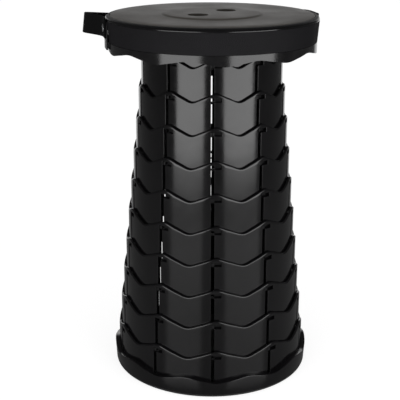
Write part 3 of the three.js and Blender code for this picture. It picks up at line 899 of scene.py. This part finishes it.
def slider_piece():
    x, y = STRAP_RADIUS * math.cos(SLIDER_ANGLE), STRAP_RADIUS * math.sin(SLIDER_ANGLE)
    half_height = STRAP_WIDTH / 2 + GAP + SLIDER_WALL
    half_depth = STRAP_THICKNESS / 2 + 2 * GAP + SLIDER_WALL
    low = (-half_depth, -SLIDER_LENGTH / 2, -half_height)
    high = (half_depth, SLIDER_LENGTH / 2, half_height)
    slider = box_mesh("strap_slider_shown", low, high, GLOSS)
    way = box_mesh("way", (low[0] + SLIDER_WALL, -SLIDER_LENGTH, low[2] + SLIDER_WALL),
                   (high[0] - SLIDER_WALL, SLIDER_LENGTH, high[2] - SLIDER_WALL), GLOSS)
    combine(slider, [way], "DIFFERENCE")
    slider.data.shade_smooth()
    round_edges(slider, 0.5, 3)
    lift = Matrix.Translation((x * MM, y * MM, (PIVOT + sag_at(y)) * MM))
    slider.data.transform(along_strap(1) @ lift @ turn_about_z(SLIDER_ANGLE))
    return slider


for label, side in (("left", -1), ("right", 1)):
    fit(clip_piece(f"strap_clip_{label}_shown", side), "seat", [f"strap_clip_{label}"])
    fit(rivet_piece(f"strap_rivet_{label}_shown", side), "seat", [f"strap_rivet_{label}"])
fit(webbing_piece(), "strap", ["strap_webbing"])
fit(slider_piece(), "strap", ["strap_slider"])


# Base


def base_shell_piece():
    turn = turn_of_ring(RINGS)

    def dip(azimuth):
        return -RIM_WAVE / 2 * (1 + wave_level(azimuth - WAVE_TURN - turn))

    low = PLATE_TOP + GAP
    edge = [(radius, height, (height - LEDGE_TOP) / (RIM_HEIGHT - LEDGE_TOP))
            for radius, height, _ in quarter(BASE_RADIUS, RIM_HEIGHT - RIM_BEVEL, RIM_BEVEL, RIM_BEVEL, 4)]
    profile = [
        (LEDGE_INNER, low), (BASE_FOOT_RADIUS, low), (BASE_FOOT_RADIUS + 0.3, LEDGE_TOP, 0), *edge,
        (RIM_INNER, RIM_HEIGHT, 1), (RIM_INNER, LEDGE_TOP, 0), (LEDGE_INNER, LEDGE_TOP, 0),
    ]
    shell = turned("base_shell_shown", profile, GLOSS, shift=dip)
    half = TAB_WIDTH / 2 + POCKET_PLAY
    tab_low = RING_FLOOR + TAB_FOOT
    pockets = [
        box_mesh("pocket", (-half, -(ring_radius(RINGS) + TAB_REACH + POCKET_PLAY), tab_low - POCKET_PLAY),
                 (half, -(RIM_INNER - OVERRUN), tab_low + TAB_HEIGHT + POCKET_PLAY),
                 GLOSS, turn_about_z(rib * RIB + turn))
        for rib in range(0, WAVES, 2)
    ]
    combine(shell, pockets, "DIFFERENCE")
    return round_edges(shell, 0.35)


def panel_cutter(azimuth):
    """One shallow sector between two ribs of the plate."""
    top, low = PLATE_LOW + PANEL_DEPTH, PLATE_LOW - OVERRUN
    steps = 12
    rims = []
    for radius in (PANEL_INNER, PANEL_OUTER):
        half = RIB / 2 - math.asin(PLATE_RIB / 2 / radius)
        rims.append([(radius, azimuth - half + 2 * half * s / steps) for s in range(steps + 1)])
    outline = rims[1] + rims[0][::-1]
    vertices = [polar(r, a, z) for z in (low, top) for r, a in outline]
    n = len(outline)
    faces = [list(range(n)), list(range(2 * n - 1, n - 1, -1))]
    faces += [[k, n + k, n + (k + 1) % n, (k + 1) % n] for k in range(n)]
    return piece("panel", vertices, faces, PLATE_LOOK, smooth=False)


def turned_post(radius, low, high, circle, azimuth, columns=48):
    thing = post("post", radius, low, high, PLATE_LOOK, 0, -circle, columns)
    thing.data.transform(turn_about_z(azimuth))
    return thing


def base_plate_piece():
    profile = [
        (0, PLATE_LOW), (20, PLATE_LOW), (60, PLATE_LOW), (98, PLATE_LOW),
        (BASE_FOOT_RADIUS - PLATE_CORNER, PLATE_LOW), (BASE_FOOT_RADIUS - 0.35, PLATE_LOW + 0.35),
        (BASE_FOOT_RADIUS, PLATE_LOW + PLATE_CORNER), (BASE_FOOT_RADIUS, PLATE_TOP), (0, PLATE_TOP),
    ]
    plate = turned("base_plate_shown", profile, PLATE_LOOK)
    cutters = [panel_cutter((rib + 0.5) * RIB) for rib in range(WAVES)]
    cutters += [turned_post(FOOT_RADIUS + GAP, PLATE_LOW - OVERRUN, FOOT_POCKET_TOP, FOOT_CIRCLE, rib * RIB)
                for rib in range(0, WAVES, 2)]
    cutters.append(turned_post(CENTRE_FOOT_RADIUS + GAP, PLATE_LOW - OVERRUN, FOOT_POCKET_TOP, 0, 0))
    cutters += [turned_post(SCREW_HEAD + GAP, PLATE_LOW - OVERRUN, PLATE_LOW + SCREW_RECESS,
                            BASE_SCREW_CIRCLE, rib * RIB, 24)
                for rib in range(1, WAVES, 2)]
    combine(plate, cutters, "DIFFERENCE")
    return round_edges(plate, 0.25)


def foot_piece(name, radius, circle, azimuth):
    profile = [(0, 0.35), (radius * 0.72, 0.35), (radius * 0.76, 0), (radius - 0.9, 0), (radius - 0.3, 0.25),
               (radius, 0.8), (radius, FOOT_TOP), (0, FOOT_TOP)]
    foot = turned(name, profile, RUBBER_LOOK, 64)
    foot.data.transform(turn_about_z(azimuth) @ Matrix.Translation((0, -circle * MM, 0)))
    return foot


fit(base_shell_piece(), "base", ["base_shell"])
fit(base_plate_piece(), "base", ["base_plate"])
fit(foot_piece("foot_centre_shown", CENTRE_FOOT_RADIUS, 0, 0), "base", ["foot_centre"])
for number in range(1, 6):
    even, odd = (2 * number - 2) * RIB, (2 * number - 1) * RIB
    foot = foot_piece(f"foot_{number}_shown", FOOT_RADIUS, FOOT_CIRCLE, even)
    fit(foot, "base", [f"foot_{number}"])
    screw = screw_piece(f"base_screw_{number}_shown", BASE_SCREW_CIRCLE, odd,
                        BASE_SCREW_HEAD_PLANE, BASE_SCREW_LENGTH)
    fit(screw, "base", [f"base_screw_{number}"])


# Floor, light and camera


def shown_share(n, behind):
    """1 for the camera; for what gloss mirrors or glass shows, as much as lies behind the stool."""
    path = n.add("LightPath")
    indirect = n.math("MAXIMUM", path.outputs["Is Glossy Ray"], path.outputs["Is Transmission Ray"])
    return n.math("MAXIMUM", path.outputs["Is Camera Ray"], n.math("MULTIPLY", indirect, behind))


def stage_floor():
    """A pale floor, which the camera sees near white and which keeps the stool's shadow."""
    n = Nodes("floor")
    place = n.add("TexCoord").outputs["Object"]
    parts = n.add("SeparateXYZ", {"Vector": place})
    aside = n.math("MULTIPLY", n.math("ABSOLUTE", parts.outputs["X"]), 1.3)
    behind = n.spread(n.math("SUBTRACT", parts.outputs["Y"], aside), 0.1, 0.6, 0.0, 1.0)
    paper = n.ramp(n.noise(place, 3.0, 3.0), [(0.3, (0.165, 0.165, 0.165)), (0.7, (0.18, 0.18, 0.18))])
    real = n.add("BsdfPrincipled", {
        "Base Color": paper, "Roughness": 0.16, "Specular IOR Level": 0.36,
    }).outputs["BSDF"]
    pale = n.add("BsdfDiffuse", {"Color": (FLOOR_PALE, FLOOR_PALE, FLOOR_PALE, 1)}).outputs["BSDF"]
    glow = n.add("Emission", {"Color": (1, 1, 1, 1), "Strength": FLOOR_GLOW}).outputs["Emission"]
    shown = n.add("AddShader")
    n.tree.links.new(pale, shown.inputs[0])
    n.tree.links.new(glow, shown.inputs[1])
    pick = n.add("MixShader", {"Fac": shown_share(n, behind)})
    n.tree.links.new(real, pick.inputs[1])
    n.tree.links.new(shown.outputs[0], pick.inputs[2])
    look = n.finish(pick.outputs[0])
    size = FLOOR_SIZE
    floor = piece("floor", [(-size, -size, 0), (size, -size, 0), (size, size, 0), (-size, size, 0)],
                  [(0, 1, 2, 3)], look, smooth=False)


def softbox(name, azimuth, width, low, high, radiance):
    """An upright panel of light that stands on the floor and faces the stool."""
    lamp = bpy.data.lights.new(name, "AREA")
    lamp.shape = "RECTANGLE"
    lamp.size, lamp.size_y = width, high - low
    lamp.energy = radiance * math.pi * lamp.size * lamp.size_y
    holder = bpy.data.objects.new(name, lamp)
    bpy.context.scene.collection.objects.link(holder)
    across, ahead = LAMP_DISTANCE * math.sin(azimuth), -LAMP_DISTANCE * math.cos(azimuth)
    place = Vector((across, ahead, (low + high) / 2))
    holder.location = place
    aim = Vector((-place.x, -place.y, 0))
    holder.rotation_euler = aim.to_track_quat("-Z", "Y").to_euler()


def stage_world():
    """A plain dim room, lighter overhead and white behind the stool."""
    n = Nodes("studio", bpy.data.worlds, "World")
    bpy.context.scene.world = n.material
    parts = n.add("SeparateXYZ", {"Vector": n.add("TexCoord").outputs["Generated"]})
    behind = n.spread(parts.outputs["Y"], 0.82, 0.98, 0.0, 1.0)
    white = (1, 1, 1, 1)
    level = n.spread(parts.outputs["Z"], 0.2, 0.9, ROOM_LIGHT, OVERHEAD_LIGHT)
    room = n.add("Background", {"Color": white, "Strength": level}).outputs["Background"]
    mirrored = n.add("LightPath").outputs["Is Glossy Ray"]
    dark = n.add("Background", {"Color": white, "Strength": ROOM_SHADE}).outputs["Background"]
    dim = n.add("MixShader", {"Fac": mirrored})
    n.tree.links.new(room, dim.inputs[1])
    n.tree.links.new(dark, dim.inputs[2])
    backdrop = n.add("Background", {"Color": white, "Strength": 1.0}).outputs["Background"]
    pick = n.add("MixShader", {"Fac": shown_share(n, behind)})
    n.tree.links.new(dim.outputs[0], pick.inputs[1])
    n.tree.links.new(backdrop, pick.inputs[2])
    n.finish(pick.outputs[0])


def camera():
    """The photograph's place, found from the stool's outlines."""
    turn = turn_about_z(math.radians(CAMERA_TURN)).to_3x3()
    pitch, yaw, roll = (math.radians(a) for a in CAMERA_ANGLES)
    ahead = Vector((math.sin(yaw) * math.cos(pitch), math.cos(yaw) * math.cos(pitch), -math.sin(pitch)))
    right = Vector((math.cos(yaw), -math.sin(yaw), 0))
    up = right.cross(ahead)
    across = right * math.cos(roll) + up * math.sin(roll)
    upright = up * math.cos(roll) - right * math.sin(roll)
    rows = Matrix((turn @ across, turn @ upright, turn @ -ahead)).transposed()
    data = bpy.data.cameras.new("camera")
    data.sensor_width = 36.0
    data.lens = FOCAL_PIXELS / PHOTO_PIXELS * data.sensor_width
    data.clip_start, data.clip_end = 0.05, 50.0
    holder = bpy.data.objects.new("camera", data)
    bpy.context.scene.collection.objects.link(holder)
    place = turn @ Vector(CAMERA_PLACE) * MM
    holder.matrix_world = Matrix.Translation(place) @ rows.to_4x4()
    bpy.context.scene.camera = holder


stage_floor()
stage_world()
for side, azimuth, width in LAMPS:
    softbox(f"softbox_{side}", math.radians(azimuth), width, LAMP_LOW, LAMP_HIGH, LAMP_RADIANCE)
    softbox(f"softbox_{side}_foot", math.radians(azimuth), width, 0.0, LAMP_LOW, LAMP_FOOT_RADIANCE)
camera()
bpy.context.scene.view_settings.view_transform = "Standard"
